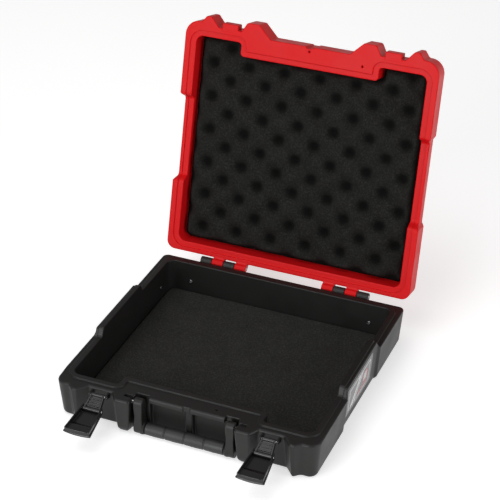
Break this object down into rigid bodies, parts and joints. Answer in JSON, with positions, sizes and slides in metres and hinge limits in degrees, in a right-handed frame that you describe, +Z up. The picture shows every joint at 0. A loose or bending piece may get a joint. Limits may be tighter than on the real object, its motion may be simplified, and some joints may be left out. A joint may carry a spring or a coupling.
{
  "type": "carry case",
  "caption": "Hard plastic carry case with hinged foam-lined lid, foam-lined tray, folding handle and two draw latches.",
  "frame": {"origin": "centre of the underside of the base", "axes": "+X along the hinge to the right seen from the handle, -Y to the handle side, +Z up; shown with the lid open at its stop and the latches open"},
  "size_m": [0.3582, 0.5146, 0.3812],
  "materials": {
    "black_plastic": "moulded black plastic with a fine grain",
    "red_plastic": "moulded red plastic with a fine grain",
    "foam": "open-cell charcoal foam",
    "grip_rubber": "textured black rubber",
    "latch_plastic": "semi-gloss black nylon",
    "steel": "plain drawn steel",
    "screw_steel": "blackened steel",
    "label_film": "printed glossy film with plain blocks of colour"
  },
  "bodies": {
    "base": {"base_shell": "black_plastic", "base_foam": "foam", "hinge_pin_left": "steel", "hinge_pin_right": "steel", "handle_pin_left": "steel", "handle_pin_right": "steel", "latch_link_pin_left": "steel", "latch_link_pin_right": "steel", "side_label": "label_film", "wall_screws": "screw_steel"},
    "lid": {"lid_shell": "red_plastic", "lid_foam": "foam"},
    "handle": {"handle_frame": "black_plastic", "handle_grip": "grip_rubber"},
    "link_left": {"latch_link_left": "latch_plastic"},
    "link_right": {"latch_link_right": "latch_plastic"},
    "lever_left": {"latch_lever_left": "latch_plastic", "latch_lever_pin_left": "steel"},
    "lever_right": {"latch_lever_right": "latch_plastic", "latch_lever_pin_right": "steel"}
  },
  "joints": [
    {"name": "lid_close", "type": "hinge", "parent": "base", "child": "lid", "pos_m": [0, 0.1732, 0.0525], "axis": [1, 0, 0], "range_deg": [0, 104.8]},
    {"name": "handle_lift", "type": "hinge", "parent": "base", "child": "handle", "pos_m": [0, -0.153, 0.046], "axis": [-1, 0, 0], "range_deg": [0, 80]},
    {"name": "link_left_fold", "type": "hinge", "parent": "base", "child": "link_left", "pos_m": [-0.115, -0.161, 0.0475], "axis": [1, 0, 0], "range_deg": [0, 64]},
    {"name": "link_right_fold", "type": "hinge", "parent": "base", "child": "link_right", "pos_m": [0.115, -0.161, 0.0475], "axis": [1, 0, 0], "range_deg": [0, 64]},
    {"name": "lever_left_close", "type": "hinge", "parent": "link_left", "child": "lever_left", "pos_m": [-0.115, -0.17943, 0.03851], "axis": [-1, 0, 0], "range_deg": [0, 160]},
    {"name": "lever_right_close", "type": "hinge", "parent": "link_right", "child": "lever_right", "pos_m": [0.115, -0.17943, 0.03851], "axis": [-1, 0, 0], "range_deg": [0, 160]}
  ],
  "couplings": [
    {"joint": "link_left_fold", "follows": "lever_left_close", "ratio": 0.4},
    {"joint": "link_right_fold", "follows": "lever_right_close", "ratio": 0.4}
  ]
}
